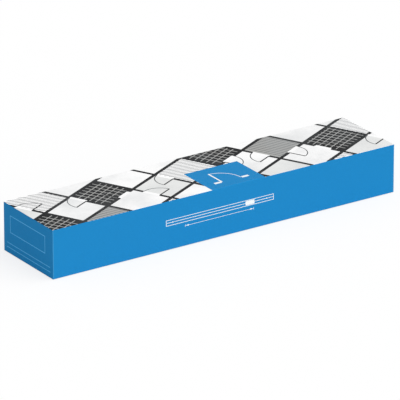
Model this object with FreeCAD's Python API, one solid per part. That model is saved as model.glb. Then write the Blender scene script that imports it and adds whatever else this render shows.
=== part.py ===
import FreeCAD, Part
import math
import os
from FreeCAD import Vector

# A slide rail door closer packed in its retail carton, in millimetres.
# The origin is at the middle of the carton's underside: X runs along the carton, the front is -Y, Z is up.
# The carton is sized by what lies in it: the rail, the closer, the arm and the small parts set the pads,
# the pads set the tray, and the tray sets the lid.

# Driving dimensions of the carton and its packing
board = 1.2               # micro-flute board of tray and lid
fold_radius = 0.8         # outside radius of a crease
lid_clearance = 0.6       # lid to tray
skirt_lift = 0.5          # the lid's skirts end this far above the table
wall_drop = 0.5           # the tray's free wall tops lie this far below the lid
glue_flap_reach = 30.0
glue_flap_inset = 4.0     # a glue flap stops this far short of its wall's top and bottom
headroom = 6.7            # closer to the underside of the lid
pad_thickness = 12.0
pad_clearance = 0.6       # pads to tray
seat_clearance = 0.5      # an item to the window that it lies in
end_border = 11.0         # pad left outside the windows, at each end
front_border = 4.6
back_border = 4.0
length_divider = 10.8     # between two windows along the carton
depth_divider = 5.0       # between two windows across the carton
leaflet_thickness = 2.0
leaflet_slack = 1.0
leaflet_depth = 92.0
leaflet_height = 50.0

# Driving dimensions of the closer's rack and pinion
gear_module = 2.0
pinion_teeth = 9
pressure_angle = math.radians(20.0)
profile_shift = 0.5       # keeps so small a pinion from being undercut
tip_shortening = 0.6      # keeps its teeth from ending in a point
root_clearance = 0.5
backlash = 0.3
opening_angle = 150.0     # degrees that the spindle turns
gear_end_clearance = 0.8
window_clearance = 1.0    # pinion to the ends of the piston's window
window_roof_gap = 0.5     # pinion to the roof of that window

# Driving dimensions of the closer's housing and its inner pieces
bore_radius = 16.0
crown_wall = 4.5          # bore to the housing's back and front
piston_gap = 0.15
piston_head = 12.0
oil_gap = 5.0             # piston to the valve end's plug
plug_length = 12.0
plug_gap = 0.05
plug_key = 10.0           # across the flats of the plug's hexagon socket
plug_key_depth = 5.0
seal_section = 2.0        # side of the plug seals' square section
spring_space = 86.6       # between piston and spring plate
outer_spring_radius = 11.8
outer_spring_wire = 4.0
outer_spring_turns = 8
inner_spring_radius = 7.0
inner_spring_wire = 2.6
inner_spring_turns = 11
spring_sides = 9          # straight lengths in one turn
spring_end_gap = 0.1
plate_thickness = 4.0
plate_gap = 3.0           # spring plate to the adjuster's collar
plate_rim_gap = 0.5
collar_length = 3.0
collar_radius = 7.0
adjuster_radius = 4.0
adjuster_gap = 0.15
adjuster_key = 5.0
adjuster_key_depth = 6.0
adjuster_travel = 8.0
check_valve_radius = 3.0
check_valve_offset = 9.0  # above the bore's axis
press_gap = 0.02
journal_radius = 8.0
journal_gap = 0.05
spindle_hole_gap = 0.6    # lets the pinion pass through the spindle hole
bearing_inset = 0.4
bearing_length = 5.5
spindle_seal_length = 1.5
nut_length = 1.6
ring_sides = 24           # flats that stand for the round of small turned pieces
ring_gap = 0.05           # bearing and nut to the spindle hole
square_side = 11.0
stub_length = 6.5
stub_thread_radius = 2.5
stub_thread_depth = 12.0
cap_radius = 9.5
cap_wall = 1.0
cap_gap = 0.1
valve_radius = 3.0
valve_gap = 0.05
valve_length = 24.0
valve_recess = 0.5
valve_side_edge = 6.0     # valve axis to the housing's side
valve_front_edge = 7.5    # valve axis to the housing's front
valve_slot = 0.8
valve_slot_depth = 1.5
foot_length = 14.0
foot_thickness = 9.0
fixing_radius = 3.25
fixing_edge = 7.0         # fixing hole to the housing's side

# Driving dimensions of the closer's snap-on cover
cover_wall = 1.6
cover_side_gap = 0.4
cover_front_gap = 0.3
cover_end_gap = 0.5
cover_lift = 0.5          # cover's rim above the closer's back
cover_radius = 7.0
barrel_edge_relief = 0.6  # how much rounder the housing's edge is than the cover's inside
spindle_notch_gap = 1.0
access_radius = 3.6       # holes in the cover for the valves
adjuster_access_radius = 5.0

# Driving dimensions of the slide rail
rail_length = 440.0
rail_width = 24.0
rail_height = 20.0
rail_wall = 2.0
rail_slot = 10.0
rail_edge_radius = 1.0
rail_hole_radius = 2.6
rail_hole_inset = 40.0
rail_cap_flange = 3.0
rail_cap_tongue = 10.0
rail_cap_gap = 0.2
buffer_length = 12.0
block_length = 40.0
block_gap = 0.3
block_park = 290.0        # middle of the block from the rail's left end
bush_radius = 6.0
bush_gap = 0.02

# Driving dimensions of the arm
arm_reach = 196.0         # spindle to stud
boss_radius = 14.0
boss_height = 13.0
arm_end_radius = 10.0
arm_thickness = 7.0
arm_socket_gap = 0.2
stud_radius = 4.0
stud_collar_radius = 6.0
stud_collar_height = 2.0
stud_pin_height = 12.0
stud_bush_gap = 0.1

# Driving dimensions of the small parts
body_screw = dict(length=45.0, radius=2.4, head_radius=4.6, count=4)
rail_screw = dict(length=30.0, radius=2.0, head_radius=3.8, count=2)
screw_tip = 6.0
screw_point = 0.3          # radius at the tip
fastener_sides = 12        # flats that stand for a small screw's round
screws_in_row = 2
screw_spacing = 1.0
screw_seat_gap = 0.02
arm_screw_radius = 3.0
arm_screw_length = 16.0
arm_screw_head_radius = 5.0
arm_screw_head = 6.0
hex_key_flats = 4.0
hex_key_long = 60.0
hex_key_short = 20.0
hex_key_bend = 6.0

# Rack and pinion, worked out
pitch_radius = gear_module * pinion_teeth / 2
base_radius = pitch_radius * math.cos(pressure_angle)
tip_radius = pitch_radius + gear_module * (1 + profile_shift) - tip_shortening
root_radius = pitch_radius - gear_module * (1 - profile_shift) - root_clearance
tooth_thickness = gear_module * (math.pi / 2 + 2 * profile_shift * math.tan(pressure_angle))
rack_pitch = math.pi * gear_module
rack_line = pitch_radius + profile_shift * gear_module
rack_tip = rack_line - gear_module
rack_root = rack_line + gear_module + root_clearance
piston_travel = pitch_radius * math.radians(opening_angle)

# Closer, worked out from the bore outwards
piston_radius = bore_radius - piston_gap
window_length = piston_travel + 2 * (tip_radius + window_clearance)
piston_length = window_length + 2 * piston_head
rack_half_width = math.sqrt(piston_radius ** 2 - rack_tip ** 2)
pinion_half_length = rack_half_width + gear_end_clearance
spindle_hole_radius = tip_radius + spindle_hole_gap
bearing_start = bore_radius + bearing_inset
housing_half_width = bearing_start + bearing_length + spindle_seal_length + nut_length
housing_depth = 2 * (bore_radius + crown_wall)
barrel_length = (2 * plug_length + oil_gap + piston_length + spring_space + plate_thickness + plate_gap
                 + collar_length)
housing_length = barrel_length + 2 * foot_length
spindle_half_span = housing_half_width + stub_length
cover_half_width = housing_half_width + cover_side_gap + cover_wall
cover_length = housing_length + 2 * (cover_end_gap + cover_wall)
closer_depth = housing_depth + cover_front_gap + cover_wall
cap_start = cover_half_width + cover_side_gap
closer_half_span = spindle_half_span + cap_wall

# Small parts, worked out
screw_pitch = 2 * body_screw["head_radius"] + screw_spacing
screw_rows = math.ceil(body_screw["count"] / screws_in_row) + math.ceil(rail_screw["count"] / screws_in_row)
screw_pocket_length = screws_in_row * (body_screw["length"] + screw_spacing) + screw_spacing
screw_pocket_depth = screw_rows * screw_pitch + screw_spacing
tool_pocket_length = hex_key_long + hex_key_flats + 2 * seat_clearance

# Pads and lanes, worked out from what lies in them
rail_overall = rail_length + 2 * rail_cap_flange
rail_window = (rail_overall + 2 * seat_clearance, rail_width + 2 * seat_clearance)
closer_window = (cover_length + 2 * seat_clearance, 2 * (cover_half_width + seat_clearance))
arm_overall = boss_radius + arm_reach + arm_end_radius
arm_lane_length = arm_overall + 2 * seat_clearance
arm_lane_depth = 2 * (boss_radius + seat_clearance)
closer_lane_depth = max(2 * (closer_half_span + seat_clearance),
                        arm_lane_depth + depth_divider + screw_pocket_depth)
small_parts_length = screw_pocket_length + length_divider + tool_pocket_length
second_lane_length = max(arm_lane_length, small_parts_length)
pad_length = 2 * end_border + max(rail_window[0], closer_window[0] + length_divider + second_lane_length)
pad_depth = front_border + rail_window[1] + depth_divider + closer_lane_depth + back_border

# Tray and lid, worked out from the pads
tray_inner_length = pad_length + leaflet_thickness + leaflet_slack + 2 * pad_clearance + 2 * board
tray_length = tray_inner_length + 2 * board
carton_length = tray_length + 2 * (2 * board + lid_clearance)
carton_depth = pad_depth + 2 * pad_clearance + 3 * board + lid_clearance
carton_height = 2 * board + pad_thickness + closer_depth + headroom
lid_underside = carton_height - board
tray_front = -carton_depth / 2 + board + lid_clearance
tray_back = carton_depth / 2

# Places of the pieces in the carton
pad_left = -tray_inner_length / 2 + board + pad_clearance
pad_right = pad_left + pad_length
pad_front = tray_front + board + pad_clearance
pad_back = pad_front + pad_depth
pad_tops = [board + pad_thickness * (level + 1) for level in range(3)]
rail_left = pad_left + (pad_length - rail_length) / 2
rail_axis_y = pad_front + front_border + rail_window[1] / 2
rail_base = pad_tops[1]
closer_lane_front = pad_front + front_border + rail_window[1] + depth_divider
closer_lane_back = closer_lane_front + closer_lane_depth
closer_axis_y = closer_lane_back - seat_clearance - closer_half_span
closer_back = pad_tops[0]
bore_axis_z = closer_back + housing_depth / 2
cover_left = pad_left + end_border + seat_clearance
housing_left = cover_left + cover_wall + cover_end_gap
barrel_left = housing_left + foot_length
piston_left = barrel_left + plug_length + oil_gap
piston_right = piston_left + piston_length
spindle_x = piston_right - piston_head - window_clearance - tip_radius
spring_plate_left = piston_right + spring_space
collar_left = spring_plate_left + plate_thickness + plate_gap
second_lane_left = cover_left + cover_length + seat_clearance + length_divider
arm_boss_x = second_lane_left + seat_clearance + boss_radius
arm_axis_y = closer_lane_back - seat_clearance - boss_radius
small_parts_base = pad_tops[1]
tool_pocket_left = second_lane_left + screw_pocket_length + length_divider


def slab(x_range, y_range, z_range):
    corner = Vector(x_range[0], y_range[0], z_range[0])
    return Part.makeBox(x_range[1] - x_range[0], y_range[1] - y_range[0], z_range[1] - z_range[0], corner)


def rod(radius, length, start, direction):
    return Part.makeCylinder(radius, length, Vector(*start), Vector(*direction))


def straight_face(points):
    return Part.Face(Part.makePolygon([Vector(*p) for p in points + points[:1]]))


def polygon_face(sides, reach, start, direction, side):
    # A regular polygon that stands square to direction, with one corner towards side
    along = Vector(*direction).normalize()
    across = Vector(*side).normalize()
    other = along.cross(across)
    corners = []
    for k in range(sides):
        turn = 2 * math.pi * k / sides
        corners.append(Vector(*start) + (across * math.cos(turn) + other * math.sin(turn)) * reach)
    return Part.Face(Part.makePolygon(corners + corners[:1]))


def prism(sides, reach, length, start, direction):
    # One corner points up, or to the right where the prism stands upright
    side = (1, 0, 0) if direction[2] else (0, 0, 1)
    return polygon_face(sides, reach, start, direction, side).extrude(Vector(*direction).normalize() * length)


def hexagon_prism(flats, length, start, direction):
    return prism(6, flats / math.sqrt(3), length, start, direction)


def faceted_hole(radius, length, start, direction):
    # Flat sides that stay clear of radius
    return prism(ring_sides, radius / math.cos(math.pi / ring_sides), length, start, direction)


def faceted_ring(outer, inner, length, start, direction):
    rim = prism(ring_sides, outer, length, start, direction)
    return rim.cut(faceted_hole(inner, length, start, direction))


def arch_bar(x_range, axis_y, half_width, z_range, radius):
    # A bar along X with a flat underside and two rounded upper edges
    low, high = z_range
    bend = radius * (1 - math.sqrt(0.5))
    left, right = axis_y - half_width, axis_y + half_width
    x = x_range[0]
    corner_left = Part.Arc(Vector(x, left, high - radius), Vector(x, left + bend, high - bend),
                           Vector(x, left + radius, high))
    corner_right = Part.Arc(Vector(x, right - radius, high), Vector(x, right - bend, high - bend),
                            Vector(x, right, high - radius))
    lines = [((left, low), (left, high - radius)), ((left + radius, high), (right - radius, high)),
             ((right, high - radius), (right, low)), ((right, low), (left, low))]
    side_left, crown, side_right, underside = [
        Part.LineSegment(Vector(x, *a), Vector(x, *b)).toShape() for a, b in lines]
    edges = [side_left, corner_left.toShape(), crown, corner_right.toShape(), side_right, underside]
    return Part.Face(Part.Wire(edges)).extrude(Vector(x_range[1] - x_range[0], 0, 0))


def round_edges(shape, radius, picks):
    return shape.makeFillet(radius, [edge for edge in shape.Edges if picks(edge.BoundBox)])


def tray_panels():
    half = tray_length / 2
    wall_top = lid_underside - wall_drop
    floor = slab((-half, half), (tray_front, tray_back), (0, board))
    floor = round_edges(floor, fold_radius, lambda b: b.ZMax < board / 2)
    front = slab((-half, half), (tray_front, tray_front + board), (board, wall_top))
    back = slab((-half, half), (tray_back - board, tray_back), (board, lid_underside))
    ends = []
    for x in (-half, half - board):
        ends.append(slab((x, x + board), (tray_front + board, tray_back - board), (board, wall_top)))
    flaps = []
    flap_span = (board + glue_flap_inset, wall_top - glue_flap_inset)
    for x in (-half + board, half - 2 * board):
        for y in (tray_front + board, tray_back - board - glue_flap_reach):
            flaps.append(slab((x, x + board), (y, y + glue_flap_reach), flap_span))
    return {"tray_floor": floor, "tray_front_wall": front, "tray_back_wall": back,
            "tray_left_wall": ends[0], "tray_right_wall": ends[1],
            "tray_glue_flaps": Part.makeCompound(flaps)}


def lid_panels():
    half, front = carton_length / 2, -carton_depth / 2
    skirt_span = (skirt_lift, lid_underside)
    top = slab((-half, half), (front, tray_back), (lid_underside, carton_height))
    top = round_edges(top, fold_radius, lambda b: b.ZMin > lid_underside + board / 2)
    front_skirt = slab((-half + board, half - board), (front, front + board), skirt_span)
    skirts, flaps = [], []
    flap_span = (skirt_span[0] + glue_flap_inset, skirt_span[1] - glue_flap_inset)
    for side in (-1, 1):
        outer, inner, flap = [side * (half - layers * board) for layers in range(3)]
        skirts.append(slab(sorted((outer, inner)), (front, tray_back), skirt_span))
        flaps.append(slab(sorted((inner, flap)), (front + board, front + board + glue_flap_reach), flap_span))
    return {"lid_top_panel": top, "lid_front_skirt": front_skirt, "lid_left_skirt": skirts[0],
            "lid_right_skirt": skirts[1], "lid_glue_flaps": Part.makeCompound(flaps)}


def arm_outline(boss, end, z):
    # Two circles joined by their outer tangents
    lean = math.asin((boss - end) / arm_reach)
    centres = (Vector(arm_boss_x, arm_axis_y, z), Vector(arm_boss_x + arm_reach, arm_axis_y, z))

    def on(circle, radius, angle):
        return centres[circle] + Vector(radius * math.cos(angle), radius * math.sin(angle), 0)

    upper, lower = math.pi / 2 - lean, lean - math.pi / 2
    edges = [Part.LineSegment(on(0, boss, upper), on(1, end, upper)),
             Part.Arc(on(1, end, upper), on(1, end, 0), on(1, end, lower)),
             Part.LineSegment(on(1, end, lower), on(0, boss, lower)),
             Part.Arc(on(0, boss, lower), on(0, boss, math.pi), on(0, boss, upper))]
    return Part.Face(Part.Wire([edge.toShape() for edge in edges]))


def pads():
    def plate(level):
        return slab((pad_left, pad_right), (pad_front, pad_back),
                    (pad_tops[level] - pad_thickness, pad_tops[level]))

    def window(level, x, length, y, depth):
        return slab((x, x + length), (y, y + depth), (pad_tops[level] - pad_thickness, pad_tops[level]))

    def closer_windows(level):
        cap_half = cap_radius + seat_clearance
        span = closer_half_span + seat_clearance
        return [window(level, cover_left - seat_clearance, closer_window[0],
                       closer_axis_y - closer_window[1] / 2, closer_window[1]),
                window(level, spindle_x - cap_half, 2 * cap_half, closer_axis_y - span, 2 * span)]

    arm_window = arm_outline(boss_radius + seat_clearance, arm_end_radius + seat_clearance, pad_tops[1])
    small_windows = [
        window(2, rail_left - rail_cap_flange - seat_clearance, rail_window[0],
               rail_axis_y - rail_window[1] / 2, rail_window[1]),
        window(2, second_lane_left, screw_pocket_length, closer_lane_front, screw_pocket_depth),
        window(2, tool_pocket_left, tool_pocket_length, closer_lane_front, screw_pocket_depth),
        arm_window.extrude(Vector(0, 0, pad_thickness))]
    return {"bottom_pad": plate(0), "middle_pad": plate(1).cut(closer_windows(1)),
            "top_pad": plate(2).cut(closer_windows(2) + small_windows)}


def leaflet():
    # Folded sheets that stand between the pads and the right end wall
    x = pad_right + leaflet_slack / 2
    middle = (pad_front + pad_back) / 2
    sheets = slab((x, x + leaflet_thickness), (middle - leaflet_depth / 2, middle + leaflet_depth / 2),
                  (board, board + leaflet_height))
    return {"installation_leaflet": round_edges(sheets, leaflet_thickness * 0.4, lambda b: b.ZMin > board)}


def closer_housing():
    barrel_right = barrel_left + barrel_length
    edge_radius = cover_radius - cover_wall + barrel_edge_relief
    barrel = arch_bar((barrel_left, barrel_right), closer_axis_y, housing_half_width,
                      (closer_back, closer_back + housing_depth), edge_radius)
    side = (closer_axis_y - housing_half_width, closer_axis_y + housing_half_width)
    foot_span = (closer_back, closer_back + foot_thickness)
    feet = [slab((housing_left, barrel_left), side, foot_span),
            slab((barrel_right, barrel_right + foot_length), side, foot_span)]
    holes = [rod(bore_radius, barrel_length, (barrel_left, closer_axis_y, bore_axis_z), (1, 0, 0)),
             rod(spindle_hole_radius, 2 * housing_half_width, (spindle_x, side[0], bore_axis_z), (0, 1, 0))]
    for y, z in valve_axes():
        holes.append(rod(valve_radius, valve_recess + valve_length, (barrel_left, y, z), (1, 0, 0)))
    for x in (housing_left + foot_length / 2, barrel_right + foot_length / 2):
        for y in (side[0] + fixing_edge, side[1] - fixing_edge):
            holes.append(rod(fixing_radius, foot_thickness, (x, y, closer_back), (0, 0, 1)))
    return barrel.fuse(feet).cut(holes).removeSplitter()


def valve_axes():
    reach = housing_half_width - valve_side_edge
    z = closer_back + housing_depth - valve_front_edge
    return [(closer_axis_y - reach, z), (closer_axis_y + reach, z)]


def regulating_valve(y, z):
    radius = valve_radius - valve_gap
    start = barrel_left + valve_recess
    stem = rod(radius, valve_length, (start, y, z), (1, 0, 0))
    slot = slab((start, start + valve_slot_depth), (y - radius, y + radius),
                (z - valve_slot / 2, z + valve_slot / 2))
    return stem.cut(slot)


def end_plug(outer_end, inward):
    # A plug whose inner end is stepped down for its square seal
    radius = bore_radius - plug_gap
    body_length = plug_length - seal_section
    profile = [(0, radius), (body_length, radius), (body_length, radius - seal_section),
               (plug_length, radius - seal_section)]
    plug = faceted_rod([(inward * along, reach) for along, reach in profile], ring_sides,
                       outer_end, closer_axis_y, bore_axis_z)
    step = (outer_end + inward * body_length, closer_axis_y, bore_axis_z)
    seal = faceted_ring(bore_radius - press_gap, radius - seal_section + press_gap, seal_section,
                        step, (inward, 0, 0))
    return plug, seal


def plugs_and_seals():
    barrel_right = barrel_left + barrel_length
    valve_plug, left_seal = end_plug(barrel_left, 1)
    spring_plug, right_seal = end_plug(barrel_right, -1)
    key = hexagon_prism(plug_key, plug_key_depth, (barrel_left, closer_axis_y, bore_axis_z), (1, 0, 0))
    adjuster_hole = faceted_hole(adjuster_radius + adjuster_gap, plug_length,
                                 (barrel_right, closer_axis_y, bore_axis_z), (-1, 0, 0))
    return {"valve_end_plug": valve_plug.cut(key), "spring_end_plug": spring_plug.cut(adjuster_hole),
            "end_plug_seals": Part.makeCompound([left_seal, right_seal])}


def rack_piston():
    body = rod(piston_radius, piston_length, (piston_left, closer_axis_y, bore_axis_z), (1, 0, 0))
    across = (closer_axis_y - piston_radius, closer_axis_y + piston_radius)
    window_right = piston_right - piston_head
    window_left = window_right - window_length
    roof = bore_axis_z + tip_radius + window_roof_gap
    cuts = [slab((window_left, window_right), across, (bore_axis_z - rack_tip, roof))]

    def gap_half_width(depth):
        return rack_pitch / 4 + (rack_line - depth) * math.tan(pressure_angle) + backlash / 2

    wide, narrow = gap_half_width(rack_tip), gap_half_width(rack_root)
    tips, roots = bore_axis_z - rack_tip, bore_axis_z - rack_root
    first = math.ceil((window_left + wide - spindle_x) / rack_pitch)
    last = math.floor((window_right - wide - spindle_x) / rack_pitch)
    for k in range(first, last + 1):
        x = spindle_x + k * rack_pitch
        corners = [(x - wide, tips), (x + wide, tips), (x + narrow, roots), (x - narrow, roots)]
        gap = straight_face([(along, across[0], z) for along, z in corners])
        cuts.append(gap.extrude(Vector(0, across[1] - across[0], 0)))
    valve_start = (piston_left, closer_axis_y, bore_axis_z + check_valve_offset)
    cuts.append(rod(check_valve_radius, piston_head, valve_start, (1, 0, 0)))
    check_valve = prism(ring_sides, check_valve_radius - press_gap, piston_head, valve_start, (1, 0, 0))
    return {"rack_piston": body.cut(cuts), "check_valve": check_valve}


def involute(angle):
    return math.tan(angle) - angle


def tooth_half_angle(radius):
    # Half of a tooth's width at a radius, as an angle about the pinion's axis
    steepness = math.acos(base_radius / max(radius, base_radius))
    return tooth_thickness / (2 * pitch_radius) + involute(pressure_angle) - involute(steepness)


def pinion_face(y):
    def point(radius, angle):
        return Vector(spindle_x + radius * math.cos(angle), y, bore_axis_z + radius * math.sin(angle))

    pitch = 2 * math.pi / pinion_teeth
    middle_radius = (base_radius + tip_radius) / 2
    at_base, at_middle, at_tip = [tooth_half_angle(r) for r in (base_radius, middle_radius, tip_radius)]
    edges = []
    for k in range(pinion_teeth):
        centre = -math.pi / 2 + k * pitch
        right, left, following = centre - at_base, centre + at_base, centre + pitch - at_base
        edges += [
            Part.LineSegment(point(root_radius, right), point(base_radius, right)),
            Part.Arc(point(base_radius, right), point(middle_radius, centre - at_middle),
                     point(tip_radius, centre - at_tip)),
            Part.Arc(point(tip_radius, centre - at_tip), point(tip_radius, centre),
                     point(tip_radius, centre + at_tip)),
            Part.Arc(point(tip_radius, centre + at_tip), point(middle_radius, centre + at_middle),
                     point(base_radius, left)),
            Part.LineSegment(point(base_radius, left), point(root_radius, left)),
            Part.Arc(point(root_radius, left), point(root_radius, (left + following) / 2),
                     point(root_radius, following))]
    return Part.Face(Part.Wire([edge.toShape() for edge in edges]))


def pinion_spindle():
    teeth = pinion_face(closer_axis_y - pinion_half_length).extrude(Vector(0, 2 * pinion_half_length, 0))
    journal = rod(journal_radius, 2 * housing_half_width,
                  (spindle_x, closer_axis_y - housing_half_width, bore_axis_z), (0, 1, 0))
    half = square_side / 2
    square = slab((spindle_x - half, spindle_x + half),
                  (closer_axis_y - spindle_half_span, closer_axis_y + spindle_half_span),
                  (bore_axis_z - half, bore_axis_z + half))
    threads = []
    for side in (-1, 1):
        end = (spindle_x, closer_axis_y + side * spindle_half_span, bore_axis_z)
        threads.append(rod(stub_thread_radius, stub_thread_depth, end, (0, -side, 0)))
    return teeth.fuse([journal, square]).cut(threads).removeSplitter()


def spindle_cap():
    start = closer_axis_y + cap_start
    length = closer_half_span - cap_start
    half = square_side / 2 + cap_gap
    body = rod(cap_radius, length, (spindle_x, start, bore_axis_z), (0, 1, 0))
    rim = [edge for edge in body.Edges if edge.BoundBox.YMin > start + length / 2]
    body = body.makeChamfer(cap_wall / 2, rim)
    socket = slab((spindle_x - half, spindle_x + half), (start, closer_axis_y + spindle_half_span + cap_gap),
                  (bore_axis_z - half, bore_axis_z + half))
    return body.cut(socket)


def spindle_rings():
    # On each side of the bore a bearing, a shaft seal and the nut that holds them
    made = {}
    outer = spindle_hole_radius - ring_gap
    inner = journal_radius + journal_gap
    for name, side in (("front", -1), ("rear", 1)):
        reach = bearing_start
        stack = (("bearing", bearing_length), ("seal", spindle_seal_length), ("nut", nut_length))
        for piece, length in stack:
            start = (spindle_x, closer_axis_y + side * reach, bore_axis_z)
            made["spindle_%s_%s" % (piece, name)] = faceted_ring(outer, inner, length, start, (0, side, 0))
            reach += length
    return made


def coil_spring(radius, wire, turns, hand):
    # Square wire in straight lengths, with one closed turn at each end
    steps = turns * spring_sides
    free_length = spring_space - 2 * spring_end_gap - wire
    closed_rise = wire + spring_end_gap
    open_rise = (free_length - 2 * closed_rise) / (turns - 2)
    start = piston_right + spring_end_gap
    sections = []
    x = start
    for step in range(steps + 1):
        angle = hand * 2 * math.pi * step / spring_sides
        outward = Vector(0, math.cos(angle), math.sin(angle))
        axis = Vector(x, closer_axis_y, bore_axis_z)
        near, far = outward * (radius - wire / 2), outward * (radius + wire / 2)
        along = Vector(wire, 0, 0)
        sections.append([axis + near, axis + far, axis + far + along, axis + near + along])
        in_end_turn = step < spring_sides or step >= steps - spring_sides
        x += (closed_rise if in_end_turn else open_rise) / spring_sides
    faces = [Part.Face(Part.makePolygon(ends + ends[:1])) for ends in (sections[0], sections[-1])]
    for this, following in zip(sections, sections[1:]):
        for k in range(4):
            a, b = this[k], this[(k + 1) % 4]
            c, d = following[(k + 1) % 4], following[k]
            faces += [Part.Face(Part.makePolygon([a, b, c, a])), Part.Face(Part.makePolygon([a, c, d, a]))]
    return outward_solid(faces)


def spring_adjustment():
    axis = (closer_axis_y, bore_axis_z)
    hole = adjuster_radius + adjuster_gap
    plate = faceted_ring(bore_radius - plate_rim_gap, hole, plate_thickness,
                         (spring_plate_left, *axis), (1, 0, 0))
    shaft_left = spring_plate_left - adjuster_travel - adjuster_gap
    shaft_right = barrel_left + barrel_length
    collar_start = collar_left - shaft_left
    collar_end = collar_start + collar_length - adjuster_gap
    shaft = faceted_rod([(0, adjuster_radius), (collar_start, adjuster_radius), (collar_start, collar_radius),
                         (collar_end, collar_radius), (collar_end, adjuster_radius),
                         (shaft_right - shaft_left, adjuster_radius)], ring_sides, shaft_left, *axis)
    socket = hexagon_prism(adjuster_key, adjuster_key_depth, (shaft_right, *axis), (-1, 0, 0))
    return {"spring_plate": plate, "spring_adjuster": shaft.cut(socket)}


def closer_cover():
    right = cover_left + cover_length
    rim = closer_back + cover_lift
    outer = arch_bar((cover_left, right), closer_axis_y, cover_half_width,
                     (rim, closer_back + closer_depth), cover_radius)
    inner = arch_bar((cover_left + cover_wall, right - cover_wall), closer_axis_y,
                     cover_half_width - cover_wall, (rim, closer_back + closer_depth - cover_wall),
                     cover_radius - cover_wall)
    notch_half = spindle_hole_radius + spindle_notch_gap
    notch_span = 2 * cover_half_width
    notch_start = closer_axis_y - cover_half_width
    cuts = [inner, rod(notch_half, notch_span, (spindle_x, notch_start, bore_axis_z), (0, 1, 0)),
            slab((spindle_x - notch_half, spindle_x + notch_half), (notch_start, notch_start + notch_span),
                 (rim, bore_axis_z)),
            rod(adjuster_access_radius, cover_wall, (right, closer_axis_y, bore_axis_z), (-1, 0, 0))]
    for y, z in valve_axes():
        cuts.append(rod(access_radius, cover_wall, (cover_left, y, z), (1, 0, 0)))
    return outer.cut(cuts)


def rail_pieces():
    right = rail_left + rail_length
    half, slot_half = rail_width / 2, rail_slot / 2
    top = rail_base + rail_height
    inside_half = half - rail_wall
    inside = (rail_base + rail_wall, top - rail_wall)
    bar = slab((rail_left, right), (rail_axis_y - half, rail_axis_y + half), (rail_base, top))
    bar = round_edges(bar, rail_edge_radius, lambda b: b.XLength > rail_length / 2)
    cuts = [slab((rail_left, right), (rail_axis_y - inside_half, rail_axis_y + inside_half), inside),
            slab((rail_left, right), (rail_axis_y - slot_half, rail_axis_y + slot_half), (inside[1], top))]
    for x in (rail_left + rail_hole_inset, right - rail_hole_inset):
        cuts.append(rod(rail_hole_radius, rail_wall, (x, rail_axis_y, rail_base), (0, 0, 1)))
    made = {"slide_rail": bar.cut(cuts)}

    def filling(x_range, gap):
        return slab(x_range, (rail_axis_y - inside_half + gap, rail_axis_y + inside_half - gap),
                    (inside[0] + gap, inside[1] - gap))

    for name, end, outward in (("left", rail_left, -1), ("right", right, 1)):
        flange = slab(sorted((end, end + outward * rail_cap_flange)),
                      (rail_axis_y - half, rail_axis_y + half), (rail_base, top))
        flange = round_edges(flange, rail_edge_radius, lambda b: b.XLength > rail_cap_flange / 2)
        tongue = filling(sorted((end, end - outward * rail_cap_tongue)), rail_cap_gap)
        made["rail_end_cap_" + name] = flange.fuse(tongue).removeSplitter()
    buffer_left = rail_left + rail_cap_tongue
    made["rail_buffer"] = filling((buffer_left, buffer_left + buffer_length), rail_cap_gap)
    block_x = rail_left + block_park
    block = filling((block_x - block_length / 2, block_x + block_length / 2), block_gap)
    seat = (block_x, rail_axis_y, inside[0] + block_gap)
    height = inside[1] - inside[0] - 2 * block_gap
    made["slide_block"] = block.cut(rod(bush_radius, height, seat, (0, 0, 1)))
    bush_bore = stud_radius + stud_bush_gap
    made["slide_block_bush"] = faceted_ring(bush_radius - bush_gap, bush_bore, height, seat, (0, 0, 1))
    return made


def arm_pieces():
    base = pad_tops[1]
    bar = arm_outline(boss_radius, arm_end_radius, base).extrude(Vector(0, 0, arm_thickness))
    boss = rod(boss_radius, boss_height, (arm_boss_x, arm_axis_y, base), (0, 0, 1))
    half = square_side / 2 + arm_socket_gap
    socket = slab((arm_boss_x - half, arm_boss_x + half), (arm_axis_y - half, arm_axis_y + half),
                  (base, base + boss_height))
    stud_place = (arm_boss_x + arm_reach, arm_axis_y)
    eye = rod(stud_radius + press_gap, arm_thickness, (*stud_place, base), (0, 0, 1))
    stud_length = arm_thickness + stud_collar_height + stud_pin_height
    shank = prism(ring_sides, stud_radius, stud_length, (*stud_place, base), (0, 0, 1))
    collar = prism(ring_sides, stud_collar_radius, stud_collar_height,
                   (*stud_place, base + arm_thickness), (0, 0, 1))
    return {"slide_arm": bar.fuse(boss).removeSplitter().cut([socket, eye]),
            "arm_stud": shank.fuse(collar).removeSplitter()}


def faceted_rod(stations, sides, x, y, z):
    # Flat sides along X, through rings that are given as pairs of distance and radius
    turns = [2 * math.pi * k / sides for k in range(sides)]
    rings = []
    for along, radius in stations:
        rings.append([Vector(x + along, y + radius * math.cos(t), z + radius * math.sin(t)) for t in turns])
    faces = [Part.Face(Part.makePolygon(end + end[:1])) for end in (rings[0], rings[-1])]
    for this, following in zip(rings, rings[1:]):
        for k in range(sides):
            n = (k + 1) % sides
            faces.append(Part.Face(Part.makePolygon([this[k], this[n], following[n], following[k], this[k]])))
    return outward_solid(faces)


def outward_solid(faces):
    solid = Part.Solid(Part.Shell(faces))
    if solid.Volume < 0:
        solid.reverse()
    return solid


def countersunk_screw(size, x, y, z):
    # A countersunk screw that lies along X with its head to the left
    radius, head = size["radius"], size["head_radius"]
    return faceted_rod([(0, head), (head - radius, radius), (size["length"] - screw_tip, radius),
                        (size["length"], screw_point)], fastener_sides, x, y, z)


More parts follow.
